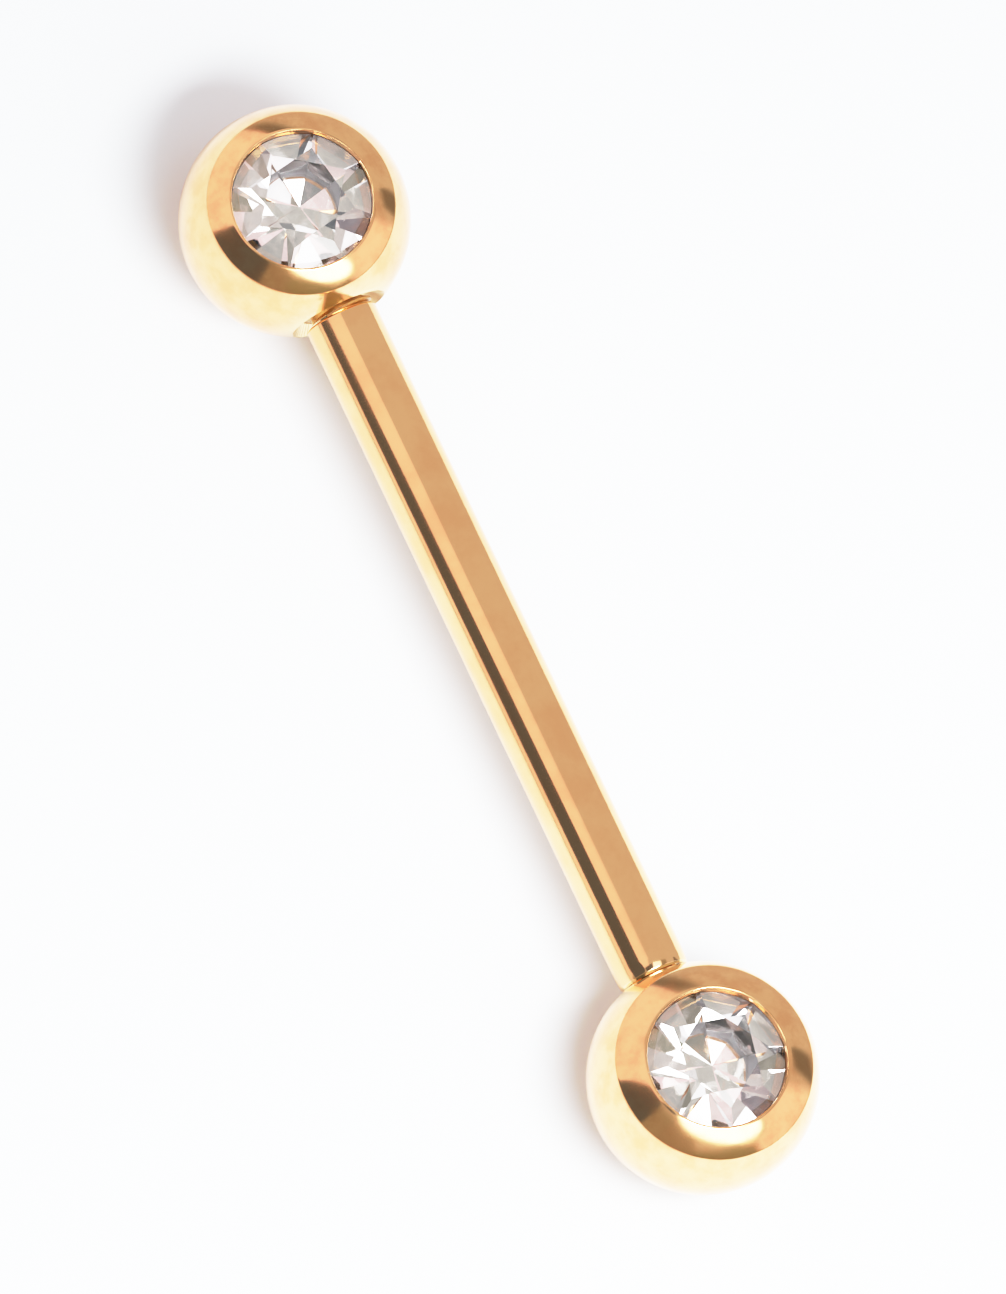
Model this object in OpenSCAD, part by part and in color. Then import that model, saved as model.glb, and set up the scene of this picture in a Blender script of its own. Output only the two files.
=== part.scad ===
// Nipple barbell: a straight bar with a gem-set ball at each end.
// One ball is fixed. The other screws off, so that the bar can be put in.
// X runs along the bar, from the screwed ball at -X to the fixed ball at +X.
// Both balls touch z = 0 and the stones face +Z. x = 0 is midway between the balls.
// All sizes are in millimetres and all angles in degrees.

/* [Bar] */
// Diameter of the bar, 14 gauge
bar_d = 1.6; // [1.5:0.05:1.7]
// Length of the bar between its shoulder and its end at the fixed ball
bar_len = 15.85; // [8:0.05:30]
// Rounding of the bar's end at the fixed ball
end_round = 0.04; // [0.02:0.01:0.1]
// Diameter of the spigot that sits in the fixed ball
spigot_d = 1.1; // [0.9:0.05:1.3]
// Bevel of the bar's shoulder at the screwed ball
shoulder_bevel = 0.05; // [0.02:0.01:0.1]
// Diameter of the post that screws into the ball, plain and near the root of its thread
post_d = 1.24; // [1.1:0.02:1.28]
// Radial clearance of the post and of the spigot in their holes
hole_clearance = 0.06; // [0.02:0.01:0.08]
// Gap that shows between the shoulder and the mouth of the screwed ball
shoulder_gap = 0.08; // [0.05:0.01:0.3]

/* [Balls] */
// Diameter of both balls
ball_d = 5; // [4.8:0.1:6]
// Diameter of the crease round the setting of the screwed ball
screw_crease_d = 4.06; // [3.8:0.02:4.3]
// Height of the screwed ball's setting above that crease
screw_lip_rise = 0.34; // [0.3:0.02:0.4]
// Diameter of the crease round the setting of the fixed ball
fixed_crease_d = 4.3; // [3.8:0.02:4.4]
// Height of the fixed ball's setting above that crease
fixed_lip_rise = 0.38; // [0.3:0.02:0.44]
// Diameter of the countersunk mouth of the screwed ball
mouth_d = 2.16; // [1.9:0.02:2.3]
// Slope of the countersink: how far it widens for each millimetre out
mouth_slope = 1; // [0.7:0.1:1.3]
// Distance from a ball's centre to the floor of its hole
hole_floor = 0.95; // [0.9:0.05:1.3]
// Space between the end of the post or the spigot and the floor of its hole
end_space = 0.08; // [0.05:0.01:0.2]
// Turn of each stone about the bar, since the screwed ball stops where its thread is tight
stone_turn = 2.7; // [0:0.1:10]

/* [Stones] */
// Diameter of a stone
stone_d = 3; // [2.8:0.05:3]
// Diameter across the corners of the table, as a share of the stone's
table_share = 0.56; // [0.5:0.01:0.6]
// Height of the crown above the girdle
crown_h = 0.42; // [0.3:0.02:0.5]
// Height of the girdle
girdle_h = 0.08; // [0.04:0.01:0.12]
// Depth of the pavilion below the girdle
pavilion_h = 1.24; // [1.1:0.01:1.24]
// Depth of the girdle's upper edge below the lip of the setting
stone_sink = 0.26; // [0.1:0.02:0.28]
// Gap between a stone and its cup
cup_gap = 0.03; // [0.02:0.01:0.05]
// Turn of the screwed ball's stone in its setting
screw_cut_turn = 33; // [0:1:45]
// Turn of the fixed ball's stone in its setting
fixed_cut_turn = 11; // [0:1:45]

/* [Hidden] */
$fn = 96;

bar_r = bar_d / 2;
post_r = post_d / 2;
spigot_r = spigot_d / 2;
ball_r = ball_d / 2;
mouth_r = mouth_d / 2;
stone_r = stone_d / 2;
cup_r = stone_r + cup_gap;

// Clearance between the sphere of the fixed ball and the flat end of the bar
seam_gap = 0.015;
// Radius round each hole's outer end that is well clear of the ball
outside = 0.5;

// Distance along the bar from a ball's centre, for a circle of radius r on the ball
function on_ball(r) = sqrt(ball_r * ball_r - r * r);

mouth_x = on_ball(mouth_r);
shoulder_x = mouth_x + shoulder_gap;
seam_x = on_ball(spigot_r) + seam_gap;
centre_distance = shoulder_x + bar_len + seam_x;
screw_x = -centre_distance / 2;
fixed_x = centre_distance / 2;

// The setting's bevel is part of a wider sphere through the crease and the lip
function lip_z(crease_r, rise) = on_ball(crease_r) + rise;
function bevel_z(crease_r, rise) =
    (pow(cup_r, 2) + pow(lip_z(crease_r, rise), 2) - pow(ball_r, 2)) / (2 * rise);
function bevel_r(crease_r, rise) =
    norm([cup_r, lip_z(crease_r, rise) - bevel_z(crease_r, rise)]);

// Facets of a stone: a table, eight stars and eight mains above, and eight mains below
table_r = stone_r * table_share;
facet_turn = 360 / 16;
crown_slope = crown_h / (stone_r - table_r);
pavilion_slope = pavilion_h / stone_r;
star_r = (stone_r + table_r * cos(facet_turn)) / 2;
star_z = crown_slope * (stone_r - star_r * cos(facet_turn));
culet_z = -girdle_h - pavilion_h;
// Depth to which the round girdle reaches between two mains of the pavilion
girdle_low_z = -girdle_h - pavilion_slope * stone_r * (1 - cos(facet_turn));

function ring(count, r, z, turn = 0) = [
    for (i = [0 : count - 1])
        [r * cos(360 / count * i + turn), r * sin(360 / count * i + turn), z]
];

// Angle between point i of the 32 on the girdle and the middle of the nearest main
function off_main(i) = facet_turn * (1 - abs(1 - (i % 4) / 2));

// The girdle's edge, which lies on the planes of the eight mains that slope down from it
function girdle_edge(z, slope) = [
    for (i = [0 : 31])
        [
            stone_r * cos(facet_turn / 2 * i),
            stone_r * sin(facet_turn / 2 * i),
            z + slope * stone_r * (1 - cos(off_main(i)))
        ]
];

// Sets its children at a ball's centre, turned about the bar
module at_ball(x, turn) {
    translate([x, 0, ball_r])
        rotate([turn, 0, 0])
            children();
}

// Turns an outline about the bar's axis, from points given as [radius, x]
module turned(points) {
    translate([0, 0, ball_r])
        rotate([0, 90, 0])
            rotate_extrude()
                polygon(points);
}

// One cut stone, with z = 0 at the upper edge of its girdle, in the middle of each main
module cut_stone() {
    points = concat(
        ring(8, table_r, crown_h),
        ring(8, star_r, star_z, facet_turn),
        girdle_edge(0, crown_slope),
        girdle_edge(-girdle_h, -pavilion_slope),
        [[0, 0, culet_z]]
    );
    table = 0;
    star = 8;
    upper = 16;
    lower = 48;
    culet = 80;
    faces = concat(
        [[for (i = [7 : -1 : 0]) table + i]],
        [for (i = [0 : 7]) [table + i, table + (i + 1) % 8, star + i]],
        [
            for (i = [0 : 7]) concat(
                [table + i, star + i],
                [for (k = [2 : -1 : -2]) upper + (4 * i + k + 32) % 32],
                [star + (i + 7) % 8]
            )
        ],
        [for (i = [0 : 31]) [upper + i, upper + (i + 1) % 32, lower + (i + 1) % 32, lower + i]],
        [for (i = [0 : 7]) concat([for (k = [-2 : 2]) lower + (4 * i + k + 32) % 32], [culet])]
    );
    polyhedron(points, faces);
}

// The cup that a stone sits in, with z = 0 at the upper edge of the girdle
module cup() {
    rotate_extrude()
        polygon([
            [0, culet_z - 2 * cup_gap],
            [cup_r, girdle_low_z - cup_gap],
            [cup_r, ball_r],
            [0, ball_r]
        ]);
}

// A ball with its bevelled setting and its cup, centred on the ball's centre
module gem_ball(crease_r, rise) {
    difference() {
        intersection() {
            sphere(r = ball_r);
            translate([0, 0, bevel_z(crease_r, rise)])
                sphere(r = bevel_r(crease_r, rise));
        }
        translate([0, 0, lip_z(crease_r, rise) - stone_sink])
            cup();
    }
}

// The bar with its threaded post at -X and its plain spigot at +X, in one piece
module bar() {
    shoulder = screw_x + shoulder_x;
    seam = fixed_x - seam_x;
    post_end = screw_x + hole_floor + end_space;
    spigot_end = fixed_x - hole_floor - end_space;
    color([0.83, 0.65, 0.38])
        turned(concat(
            [
                [0, post_end],
                [post_r - 2 * shoulder_bevel, post_end],
                [post_r, post_end + 2 * shoulder_bevel],
                [post_r, shoulder],
                [bar_r - shoulder_bevel, shoulder],
                [bar_r, shoulder + shoulder_bevel]
            ],
            [
                for (a = [0 : 15 : 90])
                    [bar_r - end_round * (1 - cos(a)), seam - end_round * (1 - sin(a))]
            ],
            [
                [spigot_r, seam],
                [spigot_r, spigot_end],
                [0, spigot_end]
            ]
        ));
}

// The ball that stays on the bar, with a plain socket for the spigot
module fixed_ball() {
    socket_r = spigot_r + hole_clearance;
    color([0.86, 0.68, 0.4])
        difference() {
            at_ball(fixed_x, -stone_turn)
                gem_ball(fixed_crease_d / 2, fixed_lip_rise);
            turned([
                [0, fixed_x - ball_r - outside],
                [socket_r, fixed_x - ball_r - outside],
                [socket_r, fixed_x - hole_floor],
                [0, fixed_x - hole_floor]
            ]);
        }
}

// The ball that screws off, with a countersunk hole for the threaded post
module screw_ball() {
    hole_r = post_r + hole_clearance;
    mouth = screw_x + mouth_x;
    reach = screw_x + ball_r + outside;
    color([0.86, 0.68, 0.4])
        difference() {
            at_ball(screw_x, stone_turn)
                gem_ball(screw_crease_d / 2, screw_lip_rise);
            turned([
                [0, screw_x + hole_floor],
                [hole_r, screw_x + hole_floor],
                [hole_r, mouth - (mouth_r - hole_r) / mouth_slope],
                [mouth_r + (reach - mouth) * mouth_slope, reach],
                [0, reach]
            ]);
        }
}

// The clear stone in the fixed ball
module fixed_stone() {
    color([0.9, 0.92, 0.95])
        at_ball(fixed_x, -stone_turn)
            translate([0, 0, lip_z(fixed_crease_d / 2, fixed_lip_rise) - stone_sink])
                rotate([0, 0, fixed_cut_turn])
                    cut_stone();
}

// The clear stone in the screwed ball
module screw_stone() {
    color([0.9, 0.92, 0.95])
        at_ball(screw_x, stone_turn)
            translate([0, 0, lip_z(screw_crease_d / 2, screw_lip_rise) - stone_sink])
                rotate([0, 0, screw_cut_turn])
                    cut_stone();
}

bar();
fixed_ball();
screw_ball();
fixed_stone();
screw_stone();
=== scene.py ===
# %% [markdown]
# # A gem-set barbell
# The real object is a piece of body jewellery: a polished gold-coloured bar, 1.6 mm thick and
# 16 mm long, with a 5 mm ball at each end. A bright round stone sits in each ball. One ball
# stays on the bar, and the other screws off so that the bar can be put in.
#
# The sizes come from a CAD model of the same object. This lesson loads that model as a frame
# and builds finer pieces in the same places. So small an object has to be modelled at its true
# size in metres, but its numbers are easier to read in millimetres, so every piece is built in
# millimetres and scaled once, at the end.

import math

import bmesh
import bpy
from mathutils import Matrix, Vector


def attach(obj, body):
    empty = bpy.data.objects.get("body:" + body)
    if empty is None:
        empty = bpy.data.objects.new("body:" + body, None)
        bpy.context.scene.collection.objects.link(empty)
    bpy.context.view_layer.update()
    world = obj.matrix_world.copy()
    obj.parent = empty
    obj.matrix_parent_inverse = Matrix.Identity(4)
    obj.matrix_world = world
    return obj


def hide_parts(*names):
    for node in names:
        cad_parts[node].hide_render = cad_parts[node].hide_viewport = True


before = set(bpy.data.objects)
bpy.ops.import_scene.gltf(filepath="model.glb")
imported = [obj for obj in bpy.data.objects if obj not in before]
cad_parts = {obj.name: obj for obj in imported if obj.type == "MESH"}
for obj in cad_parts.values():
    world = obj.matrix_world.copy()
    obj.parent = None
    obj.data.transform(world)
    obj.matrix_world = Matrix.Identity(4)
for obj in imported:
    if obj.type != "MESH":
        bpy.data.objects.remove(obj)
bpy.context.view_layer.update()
scene = bpy.context.scene
MM = 0.001

# %% [markdown]
# ## Camera
# The object was photographed from above, leaning a little towards one ball and towards one
# side, with a long lens: both balls look the same size. A camera can be placed by three angles,
# but two directions are easier to check: the one from the object to the camera, and the one
# that runs to the right in the picture. The third follows from those two.

# %% Camera
PICTURE_LONG_SIDE = 1294
PIXELS_PER_MM = 46.8
CAMERA_DISTANCE = 560
AIM_HEIGHT = 2.5
AIM_RIGHT = 0.109
AIM_UP = 0.021

to_camera = Vector((0.183, -0.246, 0.952)).normalized()
picture_right = Vector((0.423, 0.894, 0.150))
picture_right = (picture_right - picture_right.dot(to_camera) * to_camera).normalized()
picture_up = to_camera.cross(picture_right)
aim = Vector((0, 0, AIM_HEIGHT)) + AIM_RIGHT * picture_right + AIM_UP * picture_up

lens = bpy.data.cameras.new("camera")
lens.sensor_width = 36
lens.lens = lens.sensor_width * PIXELS_PER_MM * CAMERA_DISTANCE / PICTURE_LONG_SIDE
lens.clip_start = 0.01
lens.clip_end = 10
camera = bpy.data.objects.new("camera", lens)
turn = Matrix((picture_right, picture_up, to_camera)).transposed().to_4x4()
camera.matrix_world = Matrix.Translation((aim + CAMERA_DISTANCE * to_camera) * MM) @ turn
scene.collection.objects.link(camera)
scene.camera = camera
print(f"lens {lens.lens:.0f} mm,",
      f"{math.degrees(math.asin(to_camera.z)):.1f} degrees above the floor")

# %% [markdown]
# ## Floor
# The object lies on a matt white sheet, which isn't part of the object. The sheet ends 20 mm
# behind the bar, outside the picture. Past its edge the metal sees the darker room, and this
# keeps the far side of the bar brown down to its outline. A second sheet, which only the camera
# sees, carries the floor on for a look from behind.

# %% Floor
FLOOR_HALF_WIDTH = 1500
FLOOR_BACK = 20
FLOOR_WHITE = (0.82, 0.92, 0.98, 1)

matt_white = bpy.data.materials.new("matt white")
matt_white.use_nodes = True
paint = matt_white.node_tree.nodes["Principled BSDF"]
paint.inputs["Base Color"].default_value = FLOOR_WHITE
paint.inputs["Roughness"].default_value = 1
paint.inputs["Specular IOR Level"].default_value = 0


def lay_floor(name, y):
    """A square of the floor, with its middle at y."""
    sheet = bmesh.new()
    bmesh.ops.create_grid(sheet, x_segments=1, y_segments=1, size=FLOOR_HALF_WIDTH * MM)
    bmesh.ops.translate(sheet, vec=(0, y * MM, 0), verts=sheet.verts)
    mesh = bpy.data.meshes.new(name)
    sheet.to_mesh(mesh)
    sheet.free()
    mesh.materials.append(matt_white)
    square = bpy.data.objects.new(name, mesh)
    scene.collection.objects.link(square)
    return square


lay_floor("floor", FLOOR_BACK - FLOOR_HALF_WIDTH)
behind = lay_floor("floor behind", FLOOR_BACK + FLOOR_HALF_WIDTH)
behind.visible_diffuse = False
behind.visible_glossy = False
behind.visible_transmission = False
behind.visible_shadow = False
print("floor", 2 * FLOOR_HALF_WIDTH, "mm wide")

# %% [markdown]
# ## Studio
# Polished metal has hardly any colour of its own: it shows the room. What a photographer puts
# round it, such as white walls and dark cards, is what gives it its bright and dark bands. The
# far parts of the room are painted on the world here, by direction: the azimuth is 0 towards
# -Y and 90 towards +X, and the elevation is 0 at the floor. The camera itself sees plain white.
# A part of the room can lean, which shifts its sides as they go up.

# %% Studio walls
DARK = (0.13, 0.15, 0.18)
CORNER = (0.24, 0.23, 0.22)
SHADE = (0.39, 0.36, 0.30)
OLIVE = (0.34, 0.35, 0.25)
MEDIUM = (0.735, 0.71, 0.68)
LIGHT = (1.46, 1.10, 1.10)
BRIGHT = (1.65, 1.20, 1.22)
TOP_LIGHT = (2.3, 2.3, 2.45)
CAMERA_WHITE = (2.4, 2.4, 2.4)

# Azimuth from and to, elevation from and to, softness and lean in degrees, colour
WALLS = (
    ("left corner", -110, -88, 2, 24, 6, -1, CORNER),
    ("left wall", -98, 0, -12, 44, 1.5, -0.6, LIGHT),
    ("front edge", -60, 75, -12, 9, 1.5, 0, LIGHT),
    ("front ceiling", -60, 5, 41, 77, 3, 0, LIGHT),
    ("ceiling over the right wall", 118, 178, 48, 84, 4, 0, SHADE),
    ("right wall", 96, 158, 4, 46, 4, 0, BRIGHT),
    ("beside the soft box", 5, 62, 9, 56, 4, 0, SHADE),
    ("under the soft box", 58, 112, 5, 38, 4, 0, OLIVE),
    ("back corner", 164, 179, 2, 20, 3, 0.4, CORNER),
    ("photographer", 5, 60, 60, 86, 4, 0, DARK),
    ("top light", 60, 176, 66, 91, 3, 0, TOP_LIGHT),
)

world = bpy.data.worlds.new("studio")
scene.world = world
world.use_nodes = True
room = world.node_tree
room.nodes.clear()


def link(tree, source, target):
    """Joins an output to an input."""
    tree.links.new(source, target)


def calculate(tree, operation, *values):
    """A Math node with sockets or numbers as its inputs."""
    node = tree.nodes.new("ShaderNodeMath")
    node.operation = operation
    for socket, value in zip(node.inputs, values):
        if isinstance(value, (int, float)):
            socket.default_value = value
        else:
            link(tree, value, socket)
    return node.outputs[0]


def ramp_between(tree, value, start, end, low=0.0, high=1.0):
    """A Map Range node that goes smoothly from low at start to high at end."""
    node = tree.nodes.new("ShaderNodeMapRange")
    node.interpolation_type = "SMOOTHSTEP"
    link(tree, value, node.inputs["Value"])
    for name, number in (("From Min", start), ("From Max", end), ("To Min", low), ("To Max", high)):
        node.inputs[name].default_value = number
    return node.outputs["Result"]


def blend_colours(tree, share, first, second):
    """A Mix node between two colours, each a socket or three numbers."""
    node = tree.nodes.new("ShaderNodeMix")
    node.data_type = "RGBA"
    link(tree, share, node.inputs["Factor"])
    for socket, colour in ((node.inputs["A"], first), (node.inputs["B"], second)):
        if isinstance(colour, tuple):
            socket.default_value = (*colour, 1)
        else:
            link(tree, colour, socket)
    return node.outputs["Result"]


direction = room.nodes.new("ShaderNodeTexCoord").outputs["Generated"]
split = room.nodes.new("ShaderNodeSeparateXYZ")
link(room, direction, split.inputs[0])
towards_front = calculate(room, "MULTIPLY", split.outputs["Y"], -1)
azimuth = calculate(room, "ARCTAN2", split.outputs["X"], towards_front)
azimuth = calculate(room, "DEGREES", azimuth)
elevation = calculate(room, "DEGREES", calculate(room, "ARCSINE", split.outputs["Z"]))

painted = MEDIUM
for name, left, right, bottom, top, soft, lean, colour in WALLS:
    shift = calculate(room, "MULTIPLY_ADD", elevation, -lean, lean * (bottom + top) / 2)
    along = calculate(room, "ADD", azimuth, shift)
    edges = (
        ramp_between(room, along, left - soft, left + soft),
        ramp_between(room, along, right - soft, right + soft, 1, 0),
        ramp_between(room, elevation, bottom - soft, bottom + soft),
        ramp_between(room, elevation, top - soft, top + soft, 1, 0),
    )
    share = edges[0]
    for edge in edges[1:]:
        share = calculate(room, "MULTIPLY", share, edge)
    painted = blend_colours(room, share, painted, colour)

seen_by_camera = room.nodes.new("ShaderNodeLightPath").outputs["Is Camera Ray"]
painted = blend_colours(room, seen_by_camera, painted, CAMERA_WHITE)
glow = room.nodes.new("ShaderNodeBackground")
link(room, painted, glow.inputs["Color"])
out = room.nodes.new("ShaderNodeOutputWorld")
link(room, glow.outputs[0], out.inputs["Surface"])
print(len(WALLS), "walls in", len(room.nodes), "nodes")

# %% [markdown]
# ## Dark card
# The dark band along the bar and the dark side of each setting are the same thing: something
# dark that stood only 8 cm in front, turned so that its right side was the nearer one. It is
# near, so each ball sees it in another direction, and the band is a little wider towards the
# fixed ball. A world can't show that, so this card is a real one, hidden from the camera, with
# its two upper corners rounded.

# %% Dark card
CARD_PLACE = (-13, -77.5)
CARD_TURN = math.radians(48)
CARD_WIDTH = 96
CARD_BOTTOM = 19
CARD_TOP = 109
LEFT_CORNER = 24
RIGHT_CORNER = 57


def emitter(name, colour):
    """A material that only glows, in one colour."""
    material = bpy.data.materials.new(name)
    material.use_nodes = True
    tree = material.node_tree
    tree.nodes.clear()
    glow = tree.nodes.new("ShaderNodeEmission")
    glow.inputs["Color"].default_value = (*colour, 1)
    link(tree, glow.outputs[0], tree.nodes.new("ShaderNodeOutputMaterial").inputs["Surface"])
    return material


sheet = bmesh.new()
bmesh.ops.create_grid(sheet, x_segments=1, y_segments=1, size=0.5)
bmesh.ops.scale(sheet, vec=(CARD_WIDTH, CARD_TOP - CARD_BOTTOM, 1), verts=sheet.verts)
for side, reach in ((-1, LEFT_CORNER), (1, RIGHT_CORNER)):
    corner = max(sheet.verts, key=lambda vertex: side * vertex.co.x + vertex.co.y)
    bmesh.ops.bevel(sheet, geom=[corner], affect="VERTICES", offset=reach, segments=12,
                    profile=0.5, material=-1)
middle = (*CARD_PLACE, (CARD_BOTTOM + CARD_TOP) / 2)
upright = Matrix.Rotation(CARD_TURN, 4, "Z") @ Matrix.Rotation(math.pi / 2, 4, "X")
matrix = Matrix.Scale(MM, 4) @ Matrix.Translation(middle) @ upright
bmesh.ops.transform(sheet, matrix=matrix, verts=sheet.verts)
card_mesh = bpy.data.meshes.new("dark card")
sheet.to_mesh(card_mesh)
sheet.free()
card_mesh.materials.append(emitter("black cloth", DARK))
dark_card = bpy.data.objects.new("dark card", card_mesh)
dark_card.visible_camera = False
scene.collection.objects.link(dark_card)
print("dark card with", len(card_mesh.vertices), "corners")

# %% [markdown]
# ## Soft box
# The main light hangs only 9 cm away, above the lower right of the picture. Its white cloth is
# what leaves the white patch on each setting beside the stone. It is brightest in the middle
# and fades at its rim, so the patches have soft edges. The lamp in it is a much smaller area
# light, which whites out the floor and throws the shadows up and to the left.

# %% Soft box
CLOTH_PLACE = Vector((55.6, 0.4, 66.9))
CLOTH_HALF_SIZE = (49, 21)
CLOTH_LEAN = math.radians(-30)
CLOTH_GLOW = 6.5
CLOTH_RIM_GLOW = 0.35
FADE_FROM = 0.7
LAMP_PLACE = Vector((32.8, 1.1, 77.3))
LAMP_SIZE = (42, 18)
LAMP_GLOW = 50


def facing_object(place):
    """A matrix that puts a flat thing at a place in millimetres, with its back to the object."""
    away = place.normalized()
    side = Vector((0, 0, 1)).cross(away).normalized()
    turn = Matrix((side, away.cross(side), away)).transposed().to_4x4()
    return Matrix.Translation(place * MM) @ turn


disc = bmesh.new()
bmesh.ops.create_circle(disc, cap_ends=True, segments=64, radius=1)
cloth_mesh = bpy.data.meshes.new("cloth")
disc.to_mesh(cloth_mesh)
disc.free()
cloth = bpy.data.objects.new("cloth", cloth_mesh)
half_sizes = Matrix.Diagonal((CLOTH_HALF_SIZE[0] * MM, CLOTH_HALF_SIZE[1] * MM, 1, 1))
cloth.matrix_world = facing_object(CLOTH_PLACE) @ Matrix.Rotation(CLOTH_LEAN, 4, "Z") @ half_sizes
cloth.visible_camera = False
scene.collection.objects.link(cloth)

white_cloth = emitter("white cloth", (1, 1, 1))
tree = white_cloth.node_tree
distance = tree.nodes.new("ShaderNodeVectorMath")
distance.operation = "LENGTH"
link(tree, tree.nodes.new("ShaderNodeTexCoord").outputs["Object"], distance.inputs[0])
strength = ramp_between(tree, distance.outputs["Value"], FADE_FROM, 1,
                        CLOTH_GLOW, CLOTH_RIM_GLOW)
link(tree, strength, tree.nodes["Emission"].inputs["Strength"])
cloth_mesh.materials.append(white_cloth)

light = bpy.data.lights.new("lamp", "AREA")
light.shape = "ELLIPSE"
light.size = LAMP_SIZE[0] * MM
light.size_y = LAMP_SIZE[1] * MM
light.energy = LAMP_GLOW * math.pi * math.pi / 4 * light.size * light.size_y
lamp = bpy.data.objects.new("lamp", light)
lamp.matrix_world = facing_object(LAMP_PLACE)
lamp.visible_camera = False
scene.collection.objects.link(lamp)
print(f"lamp {light.energy:.3f} W,",
      f"{CLOTH_PLACE.length - LAMP_PLACE.length:.0f} mm before the cloth")

# %% [markdown]
# ## Highlights
# A photograph doesn't cut its highlights off: bright gold turns paler and paler, and only then
# white. A curve on the scene's own light does the same, with a straight part for dark and
# middle tones and a shoulder above it.

# %% Highlight curve
BRIGHTEST = 4.0
SHOULDER = 0.65
SHOULDER_WIDTH = 0.5
CURVE_AT = (0.3, 0.5, SHOULDER, 0.8, 1.0, 1.3, 1.7, 2.2, 3.0)

scene.view_settings.view_transform = "Standard"
scene.view_settings.use_curve_mapping = True
tone = scene.view_settings.curve_mapping
tone.white_level = (BRIGHTEST, BRIGHTEST, BRIGHTEST)
curve = tone.curves[3]
curve.points[0].location = (0, 0)
curve.points[1].location = (1, 1)
for level in CURVE_AT:
    over = max(0, level - SHOULDER)
    shown = min(level, SHOULDER) + (1 - SHOULDER) * (1 - math.exp(-over / SHOULDER_WIDTH))
    curve.points.new(level / BRIGHTEST, shown)
tone.update()
print(len(curve.points), "points on the highlight curve")

# %% [markdown]
# ## Gold
# The metal is polished steel with a thin gold-coloured coating. A metallic Principled shader
# gives the mirror, but a perfect mirror looks like plastic. Real polish leaves very fine lines,
# round the axis on a turned ball and along a drawn bar, and a slightly cloudy sheen. These come
# from noise on Object coordinates, which are in metres here, so the scales are in the thousands.
# In the thread the gold is rough and dull, and it is painted darker, as shade for the narrow gap
# that it sits in. In the mouth of the hole and at the seam the gold is painted paler, which stands
# in for the light there: between two gold walls light is reflected many times, and each time it
# turns redder, so without the paler paint they would look red.

# %% Gold materials
GOLD = (0.98, 0.56, 0.265)
GOLD_WORN = (0.92, 0.49, 0.225)
# Thread gold, painted darker as shade for the narrow gap it sits in
THREAD_GOLD_PAINTED_SHADE = (0.66, 0.42, 0.20)
THREAD_GOLD_PAINTED_SHADE_WORN = (0.45, 0.28, 0.13)
# Paler painted gold, which stands in for the light reflected to and fro between gold walls
RECESS_GOLD_PAINTED_PALE = (0.98, 0.72, 0.40)
RECESS_GOLD_PAINTED_PALE_WORN = (0.92, 0.62, 0.33)
PAINTED_PALE_WITHIN = 0.9
PAINTED_PALE_UNTIL = 1.7
LINES_SCALE = 12000
GRAIN_SCALE = 14000
LINES_DEPTH = 0.0000008
LINES_ROUGHNESS = 0.04
GRAIN_SHARE = 0.5


def noise(tree, coordinates, scale, detail=2.0, roughness=0.5):
    """A Noise Texture node, and its value."""
    node = tree.nodes.new("ShaderNodeTexNoise")
    node.inputs["Scale"].default_value = scale
    node.inputs["Detail"].default_value = detail
    node.inputs["Roughness"].default_value = roughness
    link(tree, coordinates, node.inputs["Vector"])
    return node.outputs["Fac"]


def stretched(tree, location=(0, 0, 0), rotation=(0, 0, 0), scale=(1, 1, 1)):
    """Object coordinates, centred, turned and stretched by a Mapping node."""
    here = tree.nodes.new("ShaderNodeTexCoord")
    mapping = tree.nodes.new("ShaderNodeMapping")
    mapping.vector_type = "TEXTURE"
    mapping.inputs["Location"].default_value = location
    mapping.inputs["Rotation"].default_value = rotation
    mapping.inputs["Scale"].default_value = scale
    link(tree, here.outputs["Object"], mapping.inputs["Vector"])
    return mapping.outputs["Vector"]


def gold(name, location=(0, 0, 0), rotation=(0, 0, 0), stretch=(1, 1, 1),
         colours=(GOLD, GOLD_WORN), roughness=(0.06, 0.1), cloud_scale=900, seam=None):
    """Gold with polishing lines along the axes that stretch lengthens, painted paler near a seam.
    """
    material = bpy.data.materials.new(name)
    material.use_nodes = True
    tree = material.node_tree
    shader = tree.nodes["Principled BSDF"]
    shader.inputs["Metallic"].default_value = 1

    plain = stretched(tree, location, rotation)
    lines = stretched(tree, location, rotation, stretch)
    cloud = noise(tree, plain, cloud_scale, 4, 0.6)
    grain = noise(tree, plain, GRAIN_SCALE)
    polish = noise(tree, lines, LINES_SCALE, 3, 0.6)

    tint = ramp_between(tree, cloud, 0.35, 0.7)
    colour = blend_colours(tree, tint, *colours)
    # Painted reflection colour: the gold turns paler near the seam, for light reflected between bar
    # and ball
    if seam:
        away = tree.nodes.new("ShaderNodeVectorMath")
        away.operation = "DISTANCE"
        away.inputs[1].default_value = seam
        link(tree, plain, away.inputs[0])
        usual = ramp_between(tree, away.outputs["Value"], PAINTED_PALE_WITHIN * MM, PAINTED_PALE_UNTIL * MM)
        pale = blend_colours(tree, tint, RECESS_GOLD_PAINTED_PALE, RECESS_GOLD_PAINTED_PALE_WORN)
        colour = blend_colours(tree, usual, pale, colour)
    link(tree, colour, shader.inputs["Base Color"])
    rough = ramp_between(tree, cloud, 0.3, 0.75, *roughness)
    rough = calculate(tree, "MULTIPLY_ADD", polish, LINES_ROUGHNESS, rough)
    link(tree, rough, shader.inputs["Roughness"])

    height = calculate(tree, "MULTIPLY_ADD", grain, GRAIN_SHARE, polish)
    bump = tree.nodes.new("ShaderNodeBump")
    bump.inputs["Strength"].default_value = 0.5
    bump.inputs["Distance"].default_value = LINES_DEPTH
    link(tree, height, bump.inputs["Height"])
    link(tree, bump.outputs["Normal"], shader.inputs["Normal"])
    return material


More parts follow.
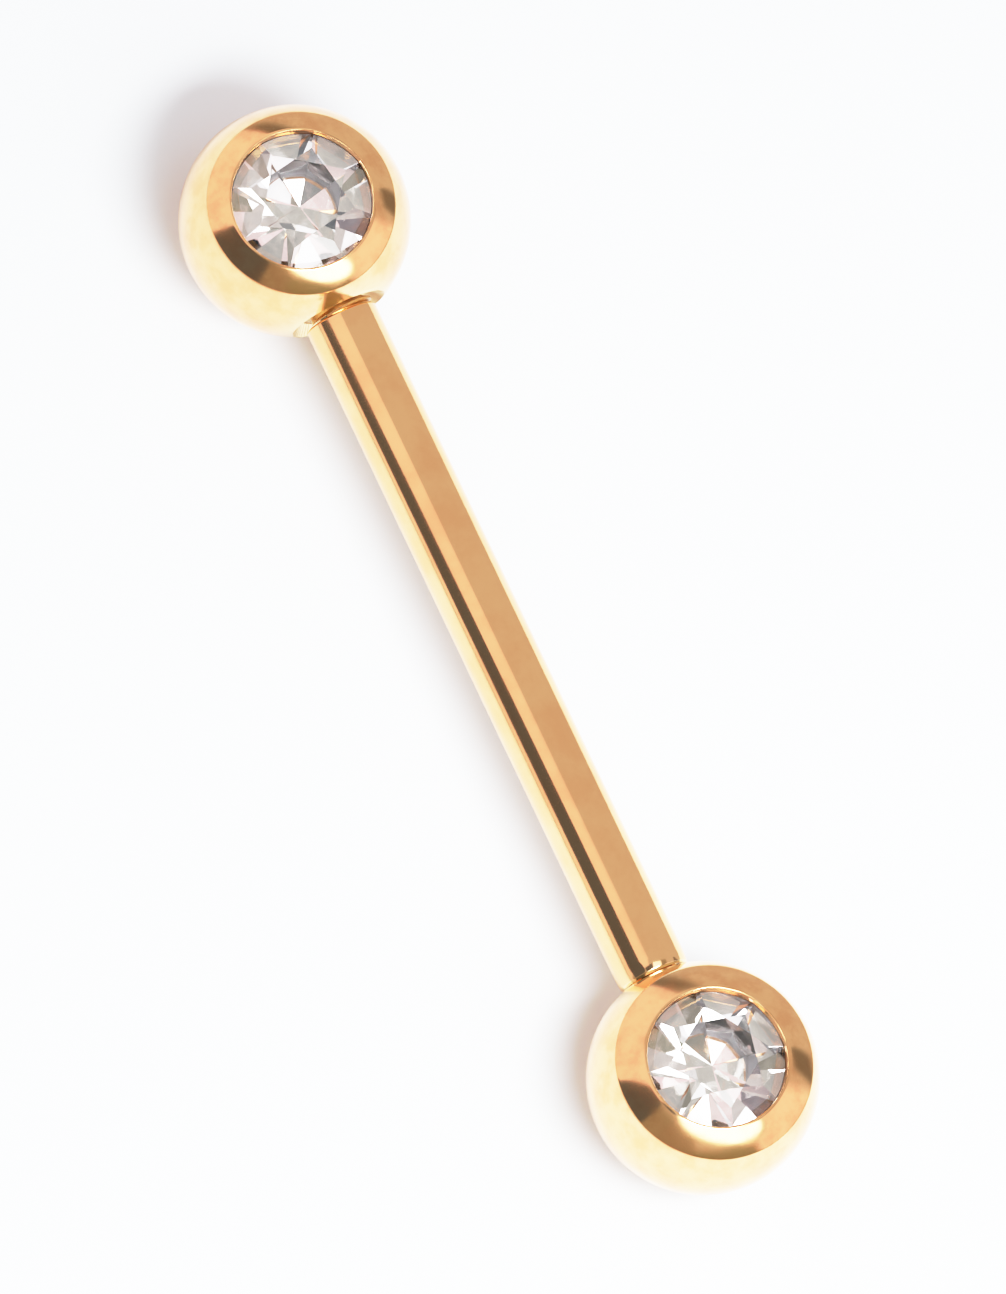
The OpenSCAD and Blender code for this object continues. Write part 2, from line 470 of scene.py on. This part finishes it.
# Rough and dull like a real thread, and painted darker as shade for its narrow gap
thread_gold_painted_shade = gold("rough gold of the thread with painted shade",
                   colours=(THREAD_GOLD_PAINTED_SHADE, THREAD_GOLD_PAINTED_SHADE_WORN), roughness=(0.2, 0.35))
# The recesses get a paler painted gold, for the light reflected to and fro in them
recess_gold_painted_pale = gold("gold of the recesses painted pale", colours=(RECESS_GOLD_PAINTED_PALE, RECESS_GOLD_PAINTED_PALE_WORN))

# %% [markdown]
# ## Crystal
# Each stone is clear glass with a bright metal backing on its lower facets, as on a crystal
# that is set in a closed cup. Light goes in through the top, is thrown back by the lower
# facets, and comes out as white, grey and coloured wedges. One piece with three materials does
# this: glass on the crown, a mirror on the pavilion, which the light meets from inside, and a
# matt grey on the girdle, which is ground and not polished. The backing is painted darker
# towards the rim, which puts painted shade into the wedges at the stone's edge. The refractive
# index of 2 is that of a bright imitation diamond, and makes the wedges bold.

# %% Crystal materials
REFRACTIVE_INDEX = 2.0
CLEAR = (1, 1, 1)
CLEAR_COOL = (0.96, 0.98, 1)
WEAR_SCALE = 6000
TINT_SCALE = 500
BACK = (0.98, 0.96, 0.94)
# The backing at the stone's rim, painted darker as shade at the edge
BACK_PAINTED_DARKER_AT_RIM = (0.80, 0.78, 0.77)
BACK_ROUGHNESS = (0.01, 0.04)
BACK_CLOUDS = 2500
BACK_DULLER = 0.92
RIM_BEGINS = 0.8
RIM_ENDS = 1.45
GIRDLE = (0.77, 0.80, 0.86)
GIRDLE_ROUGHNESS = (0.35, 0.5)


def crystal():
    """Clear glass with a little wear on its polish."""
    material = bpy.data.materials.new("crystal")
    material.use_nodes = True
    tree = material.node_tree
    shader = tree.nodes["Principled BSDF"]
    shader.inputs["Transmission Weight"].default_value = 1
    shader.inputs["IOR"].default_value = REFRACTIVE_INDEX
    plain = stretched(tree)
    wear = noise(tree, plain, WEAR_SCALE, 4)
    link(tree, ramp_between(tree, wear, 0.3, 0.8, 0.03, 0.08), shader.inputs["Roughness"])
    tint = ramp_between(tree, noise(tree, plain, TINT_SCALE), 0.3, 0.7)
    colour = blend_colours(tree, tint, CLEAR, CLEAR_COOL)
    link(tree, colour, shader.inputs["Base Color"])
    return material


def metal_back(name, x, bright, rim, roughness):
    """A cloudy metal on the stone at x, which takes another colour towards the stone's rim."""
    material = bpy.data.materials.new(name)
    material.use_nodes = True
    tree = material.node_tree
    shader = tree.nodes["Principled BSDF"]
    shader.inputs["Metallic"].default_value = 1
    centred = stretched(tree, (x * MM, 0, 0))
    cloud = ramp_between(tree, noise(tree, centred, BACK_CLOUDS), 0.35, 0.7)
    flat = tree.nodes.new("ShaderNodeVectorMath")
    flat.operation = "MULTIPLY"
    flat.inputs[1].default_value = (1, 1, 0)
    link(tree, centred, flat.inputs[0])
    off_axis = tree.nodes.new("ShaderNodeVectorMath")
    off_axis.operation = "LENGTH"
    link(tree, flat.outputs["Vector"], off_axis.inputs[0])
    # Towards the stone's rim the metal takes the rim colour; on the backing this is painted shade
    towards_rim = ramp_between(tree, off_axis.outputs["Value"], RIM_BEGINS * MM, RIM_ENDS * MM)
    dull = tuple(BACK_DULLER * channel for channel in bright)
    colour = blend_colours(tree, cloud, bright, dull)
    link(tree, blend_colours(tree, towards_rim, colour, rim), shader.inputs["Base Color"])
    link(tree, ramp_between(tree, cloud, 0, 1, *roughness), shader.inputs["Roughness"])
    return material


clear_crystal = crystal()

# Light bounces to and fro many times in a stone, and facets go black where it's cut off early
scene.cycles.max_bounces = 16
scene.cycles.glossy_bounces = 12
scene.cycles.transmission_bounces = 12
print("up to", scene.cycles.max_bounces, "bounces of light")

# %% [markdown]
# ## Sizes
# These are the sizes of the CAD model, in millimetres. The distance between the balls follows
# from the length of the bar and from how far each end of it stands from its ball's centre.

# %% Sizes
BALL_R = 2.5
BAR_R = 0.8
BAR_LENGTH = 15.85
MOUTH_R = 1.08
SHOULDER_GAP = 0.08
SPIGOT_R = 0.55
SOCKET_R = 0.61
SEAM_GAP = 0.015
HOLE_FLOOR = 0.95
END_SPACE = 0.08
STONE_TURN = math.radians(2.7)

mouth_x = math.sqrt(BALL_R ** 2 - MOUTH_R ** 2)
shoulder_x = mouth_x + SHOULDER_GAP
seam_x = math.sqrt(BALL_R ** 2 - SPIGOT_R ** 2) + SEAM_GAP
fixed_x = (shoulder_x + BAR_LENGTH + seam_x) / 2
screw_x = -fixed_x

# %% [markdown]
# ## Turned shapes
# The bar and the balls are turned on a lathe, so each is an outline spun round an axis. The
# corners of a real turned part are never sharp: the little rounding is what catches a line of
# light. So the outline is built from runs that meet in corners, and each corner is rounded
# before the outline is spun.

# %% Outlines and lathe
ROUND_STEPS = 6
LATHE_STEPS = 192
HOLE_STEPS = 96

# How far a cutting tool stands out of the ball, and how near two points are made one
OVERLAP = 0.5
MERGE = 0.0001


def arc(centre, radius, start, end, steps):
    """Points on a circle in the outline's plane. Angles are in degrees, from the radius's side."""
    points = []
    for i in range(steps + 1):
        angle = math.radians(start + (end - start) * i / steps)
        points.append(centre + radius * Vector((math.cos(angle), math.sin(angle))))
    return points


def round_corner(first, second, reach):
    """Joins two runs of an outline that meet in a corner, rounded off from reach before it."""
    corner = first[-1]
    first = [p for p in first if (p - corner).length > reach]
    second = [p for p in second if (p - corner).length > reach]
    start = corner + (first[-1] - corner).normalized() * reach
    end = corner + (second[0] - corner).normalized() * reach
    bend = []
    for i in range(ROUND_STEPS + 1):
        t = i / ROUND_STEPS
        bend.append(start.lerp(corner, t).lerp(corner.lerp(end, t), t))
    return first + bend + second


def rounded_outline(corners, reach):
    """A straight-sided outline with all its inner corners rounded."""
    outline = [Vector(corners[0]), Vector(corners[1])]
    for corner in corners[2:]:
        outline = round_corner(outline, [outline[-1], Vector(corner)], reach)
    return outline


def lathe(outline, steps=LATHE_STEPS):
    """Spins an outline of (radius, height) points round Z into a closed shell."""
    shape = bmesh.new()
    points = [shape.verts.new((p[0], 0, p[1])) for p in outline]
    runs = [shape.edges.new(pair) for pair in zip(points, points[1:])]
    bmesh.ops.spin(shape, geom=points + runs, cent=(0, 0, 0), axis=(0, 0, 1), dvec=(0, 0, 0),
                   angle=2 * math.pi, steps=steps, use_merge=True, use_normal_flip=False,
                   use_duplicate=False)
    bmesh.ops.remove_doubles(shape, verts=shape.verts, dist=MERGE)
    bmesh.ops.recalc_face_normals(shape, faces=shape.faces)
    return shape


def along_bar(shape, x, height=BALL_R):
    """Lays a shape that was turned round Z along +X, with its zero at x."""
    matrix = Matrix.Translation((x, 0, height)) @ Matrix.Rotation(math.pi / 2, 4, "Y")
    bmesh.ops.transform(shape, matrix=matrix, verts=shape.verts)
    return shape


# %% [markdown]
# ## Cutting and joining
# A hole across a ball can't be turned together with it, because their axes differ. The exact
# Boolean modifier cuts one closed shell with another. It is applied at once, so that the
# finished piece is one plain mesh.

# %% Booleans
MERGE_CUTS = 0.0002


def combine(shape, tool, operation):
    """The shape cut by, joined to or kept inside the tool."""
    parts = []
    for part in (shape, tool):
        mesh = bpy.data.meshes.new("part")
        part.to_mesh(mesh)
        part.free()
        parts.append(bpy.data.objects.new("part", mesh))
        scene.collection.objects.link(parts[-1])
    modifier = parts[0].modifiers.new("combine", "BOOLEAN")
    modifier.operation = operation
    modifier.solver = "EXACT"
    modifier.object = parts[1]
    bpy.context.view_layer.update()
    evaluated = parts[0].evaluated_get(bpy.context.evaluated_depsgraph_get())
    result = bmesh.new()
    result.from_mesh(evaluated.to_mesh())
    for part in parts:
        bpy.data.meshes.remove(part.data)
    bmesh.ops.remove_doubles(result, verts=result.verts, dist=MERGE_CUTS)
    bmesh.ops.dissolve_degenerate(result, edges=result.edges, dist=MERGE_CUTS)
    return result


# %% [markdown]
# ## From a shape to a piece
# A finished piece is a mesh in metres, at the origin, with smooth faces and with only its true
# edges sharp. It rides on the CAD body that it moves with, and replaces the CAD node of the
# same name.

# %% Finished pieces
SHARP = math.radians(24)

# Places of the materials in the list of a gold piece
RECESS = 1
THREAD = 2


def give_finish(shape, finish, start, end, radius):
    """Gives a material to the faces near the bar's axis between two places along it."""
    for face in shape.faces:
        centre = face.calc_center_median()
        off_axis = math.hypot(centre.y, centre.z - BALL_R)
        if start < centre.x < end and off_axis < radius:
            face.material_index = finish


def make_piece(shape, name, materials, body):
    """The finished piece for the CAD node name, on its body and with its materials."""
    bmesh.ops.scale(shape, vec=(MM, MM, MM), verts=shape.verts)
    open_edges = sum(1 for edge in shape.edges if len(edge.link_faces) != 2)
    for face in shape.faces:
        face.smooth = True
    for edge in shape.edges:
        edge.smooth = edge.calc_face_angle(0) < SHARP
    mesh = bpy.data.meshes.new(name)
    shape.to_mesh(mesh)
    shape.free()
    for material in materials:
        mesh.materials.append(material)
    piece = bpy.data.objects.new("fine_" + name, mesh)
    scene.collection.objects.link(piece)
    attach(piece, body)
    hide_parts(name)
    triangles = sum(len(p.vertices) - 2 for p in mesh.polygons)
    print(f"{name}: {triangles} triangles, {open_edges} open edges")
    return piece


# %% [markdown]
# ## Thread
# The post of the bar has a fine thread, and the ball has the same thread inside. A thread is
# one tooth swept along a helix. Spinning a whole row of teeth once round, while it moves on by
# one pitch, makes a screw surface in one step, and the turns join where they meet. Its two ends
# are then cut off square and closed.

# %% Threaded rod
PITCH = 0.35
THREAD_STEPS = 64
ON_PLANE = 0.00001


def threaded_rod(crest, root, start, end):
    """A threaded rod along X, from start to end, closed at both ends."""
    rod = bmesh.new()
    root_flat = PITCH / 4
    crest_flat = PITCH / 8
    flank = (PITCH - crest_flat - root_flat) / 2
    tooth = ((0, root), (root_flat, root), (root_flat + flank, crest), (PITCH - flank, crest))
    turns = math.ceil((end - start) / PITCH) + 3
    points = []
    for turn in range(turns):
        for along, radius in tooth:
            points.append(rod.verts.new((start + (turn - 2) * PITCH + along, 0, radius)))
    rows = [rod.edges.new(pair) for pair in zip(points, points[1:])]
    bmesh.ops.spin(rod, geom=points + rows, cent=(0, 0, 0), axis=(1, 0, 0),
                   dvec=(PITCH / THREAD_STEPS, 0, 0), angle=2 * math.pi, steps=THREAD_STEPS,
                   use_merge=False, use_normal_flip=False, use_duplicate=False)
    bmesh.ops.remove_doubles(rod, verts=rod.verts, dist=MERGE)
    for x, outwards in ((start, -1), (end, 1)):
        whole = rod.verts[:] + rod.edges[:] + rod.faces[:]
        cut = bmesh.ops.bisect_plane(rod, geom=whole, plane_co=(x, 0, 0),
                                     plane_no=(outwards, 0, 0), dist=ON_PLANE, clear_outer=True)
        rim = [part for part in cut["geom_cut"] if isinstance(part, bmesh.types.BMEdge)]
        bmesh.ops.contextual_create(rod, geom=rim)
    bmesh.ops.recalc_face_normals(rod, faces=rod.faces)
    bmesh.ops.translate(rod, vec=(0, 0, BALL_R), verts=rod.verts)
    return rod


# %% [markdown]
# ## Bar
# The bar is one piece: a plain polished rod, with a shoulder and the threaded post at one end,
# and a plain spigot at the other, which sits in the fixed ball. Polishing has eased that end by
# a few hundredths of a millimetre, and its face is hollowed to fit close to the ball. The rod is
# turned, the post is a length of thread with a chamfered tip, and the two are joined. Nobody
# polishes a thread, so it keeps a duller gold, and it is painted a darker gold, as shade for the
# narrow gap it sits in. The shoulder and the hollowed end are painted a paler gold, which stands
# in for the light reflected to and fro between them and the balls.

# %% Bar
EASED_LENGTH = 0.26
EASED_ANGLE = 10
END_RIM = 0.03
END_REACH = 0.012
SHOULDER_BEVEL = 0.05
SHOULDER_REACH = 0.018
CREST_R = 0.775
ROOT_R = 0.6
TIP_CHAMFER = 0.2
POST_IN_BAR = 0.1
LINES_ALONG = (40, 1, 1)

# A hair's breadth, which keeps two faces from lying on each other
HAIR = 0.001

shoulder = screw_x + shoulder_x
seam = fixed_x - seam_x
post_end = screw_x + HOLE_FLOOR + END_SPACE
spigot_end = fixed_x - HOLE_FLOOR - END_SPACE

rod_outline = rounded_outline([
    (0, shoulder),
    (BAR_R - SHOULDER_BEVEL, shoulder),
    (BAR_R, shoulder + SHOULDER_BEVEL),
    (BAR_R, seam - EASED_LENGTH),
], SHOULDER_REACH)
ease_r = EASED_LENGTH / math.sin(math.radians(EASED_ANGLE))
ease = arc(Vector((BAR_R - ease_r, seam - EASED_LENGTH)), ease_r, 0, EASED_ANGLE, 12)
hollow_r = BALL_R + SEAM_GAP
hollow_start = math.degrees(math.acos((ease[-1].x - END_RIM) / hollow_r))
hollow_end = math.degrees(math.acos(SPIGOT_R / hollow_r))
hollow = arc(Vector((0, fixed_x)), hollow_r, -hollow_start, -hollow_end, 8)
end_face = round_corner(ease, [ease[-1], hollow[0]], END_REACH)
spigot = [Vector((SPIGOT_R, spigot_end)), Vector((0, spigot_end))]
rod_outline += end_face[1:] + hollow[1:] + spigot
rod = along_bar(lathe(rod_outline), 0)

post = threaded_rod(CREST_R, ROOT_R, post_end, shoulder + POST_IN_BAR)
tip = along_bar(lathe([
    (0, post_end + HAIR),
    (BAR_R - TIP_CHAMFER, post_end + HAIR),
    (BAR_R, post_end + TIP_CHAMFER),
    (BAR_R, shoulder + 2 * POST_IN_BAR),
    (0, shoulder + 2 * POST_IN_BAR),
], HOLE_STEPS), 0)
post = combine(post, tip, "INTERSECT")
bar_gold = gold("gold of the bar", (0, 0, BALL_R * MM), stretch=LINES_ALONG)
bar = combine(rod, post, "UNION")
# Paler painted gold on the shoulder and the hollowed end, for light reflected between bar and ball
give_finish(bar, RECESS, shoulder - HAIR, shoulder + SHOULDER_BEVEL, BAR_R)
give_finish(bar, RECESS, seam, fixed_x, BAR_R)
# The thread gets the gold with painted shade
give_finish(bar, THREAD, post_end - HAIR, shoulder - HAIR, BAR_R)
make_piece(bar, "bar", [bar_gold, recess_gold_painted_pale, thread_gold_painted_shade], "barbell")

# %% [markdown]
# ## Balls
# Each ball is a sphere whose top is cut to a wide, slightly domed bevel round the stone. The
# crease between the two, the lip beside the stone and the straight wall down to the stone are
# the lines that show in the photograph. The outline runs from the bottom of the ball up to the
# lip, down the wall, which closes in on the edge of the stone, and along the cup to the axis.

# %% Ball outline
STONE_R = 1.5
CUP_R = 1.53
MAINS = 8
GIRDLE_H = 0.08
PAVILION_H = 1.24
GIRDLE_NOTCH = PAVILION_H * (1 - math.cos(math.pi / MAINS))
STONE_SINK = 0.26
CUP_GAP = 0.03
STONE_GAP = 0.005
CREASE_REACH = 0.03
LIP_REACH = 0.075
SPHERE_STEPS = 96
DOME_STEPS = 20
BALL_GOLDS = (GOLD, (0.86, 0.44, 0.20))
BALL_ROUGHNESS = (0.07, 0.15)
BALL_CLOUDS = 1800
LINES_ROUND = (12, 12, 1)


def ball_outline(crease_r, rise):
    """The outline of a ball with its setting, and the height of the lip above the centre."""
    crease_z = math.sqrt(BALL_R ** 2 - crease_r ** 2)
    lip = crease_z + rise
    dome_z = (CUP_R ** 2 + lip ** 2 - BALL_R ** 2) / (2 * rise)
    dome_r = math.hypot(CUP_R, lip - dome_z)
    crease_angle = math.degrees(math.asin(crease_z / BALL_R))
    dome_start = math.degrees(math.atan2(crease_z - dome_z, crease_r))
    dome_end = math.degrees(math.atan2(lip - dome_z, CUP_R))
    sphere = arc(Vector((0, 0)), BALL_R, -90, crease_angle, SPHERE_STEPS)
    dome = arc(Vector((0, dome_z)), dome_r, dome_start, dome_end, DOME_STEPS)
    seat = lip - STONE_SINK - GIRDLE_H - GIRDLE_NOTCH - CUP_GAP
    tight = STONE_R + STONE_GAP
    wall = [Vector((CUP_R, lip)), Vector((tight, lip - STONE_SINK)), Vector((tight, seat))]
    culet = lip - STONE_SINK - GIRDLE_H - PAVILION_H - 2 * CUP_GAP
    outline = round_corner(sphere, dome, CREASE_REACH)
    outline = round_corner(outline, wall, LIP_REACH)
    return outline + [Vector((0, culet))], lip


def set_ball(outline, x, turn):
    """A turned ball, leaned by turn about the bar and moved to its place."""
    ball = lathe(outline)
    matrix = Matrix.Translation((x, 0, BALL_R)) @ Matrix.Rotation(turn, 4, "X")
    bmesh.ops.transform(ball, matrix=matrix, verts=ball.verts)
    return ball


def gold_of_ball(name, x, turn):
    """The gold of the ball at x, turned with it, and painted paler where it meets the bar."""
    seam = (math.copysign(BALL_R * MM, -x), 0, 0)
    return gold(name, (x * MM, 0, BALL_R * MM), (turn, 0, 0), LINES_ROUND, BALL_GOLDS,
                BALL_ROUGHNESS, BALL_CLOUDS, seam)


# %% [markdown]
# ## Fixed ball
# This ball is fastened for good. A plain socket takes the spigot of the bar, and only the seam
# round the bar's eased end shows.

# %% Fixed ball
FIXED_CREASE_R = 2.15
FIXED_LIP_RISE = 0.38
SEAM_DEPTH = 0.3

outline, fixed_lip = ball_outline(FIXED_CREASE_R, FIXED_LIP_RISE)
ball = set_ball(outline, fixed_x, -STONE_TURN)
socket = along_bar(lathe([
    (0, fixed_x - BALL_R - OVERLAP),
    (SOCKET_R, fixed_x - BALL_R - OVERLAP),
    (SOCKET_R, fixed_x - HOLE_FLOOR),
    (0, fixed_x - HOLE_FLOOR),
], HOLE_STEPS), 0)
ball_gold = gold_of_ball("gold of the fixed ball", fixed_x, -STONE_TURN)
ball = combine(ball, socket, "DIFFERENCE")
# The socket and the ball round the seam get the paler painted gold, for the light reflected there
give_finish(ball, RECESS, fixed_x - BALL_R, fixed_x - BALL_R + SEAM_DEPTH, BAR_R)
make_piece(ball, "fixed_ball", [ball_gold, recess_gold_painted_pale], "barbell")

# %% [markdown]
# ## Screwed ball
# This ball has a countersunk, threaded hole. The tool that cuts it is turned too: a drill, a
# 45 degree countersink, and a small flare that rounds the rim of the mouth. A second cut with a
# slightly larger copy of the post's thread leaves the thread inside.

# %% Screwed ball
SCREW_CREASE_R = 2.03
SCREW_LIP_RISE = 0.34
DRILL_R = 0.64
TAP_CREST_R = 0.8
TAP_ROOT_R = 0.625
TAP_OUT = 0.3
MOUTH_DEPTH = 0.5
RIM_ROUND = 0.08
RIM_INSET = 0.1 * RIM_ROUND

# The last slope of the drill, which runs out of the ball from the rounded rim
FLARE_REACH = 0.4
FLARE_DROP = 0.07

outline, screw_lip = ball_outline(SCREW_CREASE_R, SCREW_LIP_RISE)
ball = set_ball(outline, screw_x, STONE_TURN)
mouth = screw_x + mouth_x
flare_centre = Vector((MOUTH_R - RIM_INSET + RIM_ROUND * math.cos(math.radians(45)),
                       mouth - RIM_ROUND * math.sin(math.radians(45)) - RIM_INSET))
flare = arc(flare_centre, RIM_ROUND, 135, 80, 6)
cone_start = flare[0].y - (flare[0].x - DRILL_R)
drill = along_bar(lathe([
    (0, screw_x + HOLE_FLOOR),
    (DRILL_R, screw_x + HOLE_FLOOR),
    (DRILL_R, cone_start),
    *flare,
    (flare[-1].x + FLARE_REACH, flare[-1].y - FLARE_DROP),
    (flare[-1].x + FLARE_REACH, screw_x + BALL_R + OVERLAP),
    (0, screw_x + BALL_R + OVERLAP),
], 2 * LATHE_STEPS), 0)
ball = combine(ball, drill, "DIFFERENCE")
tap = threaded_rod(TAP_CREST_R, TAP_ROOT_R, post_end, mouth + TAP_OUT)
ball_gold = gold_of_ball("gold of the screwed ball", screw_x, STONE_TURN)
ball = combine(ball, tap, "DIFFERENCE")
# The mouth gets the paler painted gold, for the light reflected in it
give_finish(ball, RECESS, mouth - MOUTH_DEPTH, mouth + RIM_ROUND, MOUTH_R + RIM_ROUND)
# The thread inside gets the gold with painted shade, for the gap it sits in
give_finish(ball, THREAD, post_end - 0.2, mouth - 0.2, TAP_CREST_R + 0.03)
make_piece(ball, "screw_ball", [ball_gold, recess_gold_painted_pale, thread_gold_painted_shade], "end_ball")

# %% [markdown]
# ## Stones
# A stone this small is cut by machine with few and bold facets: a table, eight stars and eight
# mains on the crown, and eight mains on the pavilion. It is ground from a round blank, one flat
# facet at a time, and it can be modelled in the same way: a plane cuts a cylinder for each
# facet. All facets of a tier have the same tilt, so two points of the stone's section fix it.
# Each stone sits in its cup as it happened to fall, turned by its own angle.

# %% Facets
TABLE_R = 0.84
CROWN_H = 0.42
EIGHTH = 2 * math.pi / MAINS
SIXTEENTH = EIGHTH / 2
GIRDLE_STEPS = 96
MERGE_FACETS = 0.0005
FIXED_CUT_TURN = math.radians(11)
SCREW_CUT_TURN = math.radians(33)

# Places of the materials in the list of a stone, and the slope that tells its sides apart
BACKED = 1
GROUND = 2
UPRIGHT = 0.1

star_r = (STONE_R + TABLE_R * math.cos(SIXTEENTH)) / 2
star_z = CROWN_H * (STONE_R - star_r * math.cos(SIXTEENTH)) / (STONE_R - TABLE_R)
culet_z = -GIRDLE_H - PAVILION_H


def grind(stone, turn, first, second):
    """Cuts a facet through two points (radius, height) of the section at an angle turn."""
    (r1, z1), (r2, z2) = first, second
    away = Vector((z1 - z2, r2 - r1))
    if away.x < 0:
        away = -away
    normal = Vector((away.x * math.cos(turn), away.x * math.sin(turn), away.y))
    point = Vector((r1 * math.cos(turn), r1 * math.sin(turn), z1))
    whole = stone.verts[:] + stone.edges[:] + stone.faces[:]
    cut = bmesh.ops.bisect_plane(stone, geom=whole, plane_co=point, plane_no=normal,
                                 dist=ON_PLANE, clear_outer=True)
    rim = [part for part in cut["geom_cut"] if isinstance(part, bmesh.types.BMEdge)]
    bmesh.ops.contextual_create(stone, geom=rim)


def cut_stone():
    """A stone with zero at the upper edge of its girdle, and its three materials on its faces."""
    stone = bmesh.new()
    height = CROWN_H - culet_z
    bmesh.ops.create_cone(stone, cap_ends=True, cap_tris=False, segments=GIRDLE_STEPS,
                          radius1=STONE_R, radius2=STONE_R, depth=height)
    bmesh.ops.translate(stone, vec=(0, 0, CROWN_H - height / 2), verts=stone.verts)
    for i in range(MAINS):
        grind(stone, i * EIGHTH, (STONE_R, -GIRDLE_H), (0, culet_z))
        grind(stone, i * EIGHTH, (TABLE_R, CROWN_H), (STONE_R, 0))
    for i in range(MAINS):
        grind(stone, i * EIGHTH + SIXTEENTH, (TABLE_R * math.cos(SIXTEENTH), CROWN_H),
              (star_r, star_z))
    bmesh.ops.remove_doubles(stone, verts=stone.verts, dist=MERGE_FACETS)
    bmesh.ops.recalc_face_normals(stone, faces=stone.faces)
    for face in stone.faces:
        if face.normal.z < -UPRIGHT:
            face.material_index = BACKED
        elif face.normal.z < UPRIGHT:
            face.material_index = GROUND
    return stone


def set_stone(name, x, turn, lip, cut_turn, body):
    """A stone in its setting, leaned by turn about the bar and turned by cut_turn in its cup."""
    stone = cut_stone()
    matrix = (Matrix.Translation((x, 0, BALL_R)) @ Matrix.Rotation(turn, 4, "X")
              @ Matrix.Translation((0, 0, lip - STONE_SINK)) @ Matrix.Rotation(cut_turn, 4, "Z"))
    bmesh.ops.transform(stone, matrix=matrix, verts=stone.verts)
    back = metal_back("back of the " + name, x, BACK, BACK_PAINTED_DARKER_AT_RIM, BACK_ROUGHNESS)
    girdle = metal_back("girdle of the " + name, x, GIRDLE, GIRDLE, GIRDLE_ROUGHNESS)
    piece = make_piece(stone, name, [clear_crystal, back, girdle], body)
    for polygon in piece.data.polygons:
        polygon.use_smooth = False
    return piece


set_stone("fixed_stone", fixed_x, -STONE_TURN, fixed_lip, FIXED_CUT_TURN, "barbell")
set_stone("screw_stone", screw_x, STONE_TURN, screw_lip, SCREW_CUT_TURN, "end_ball")
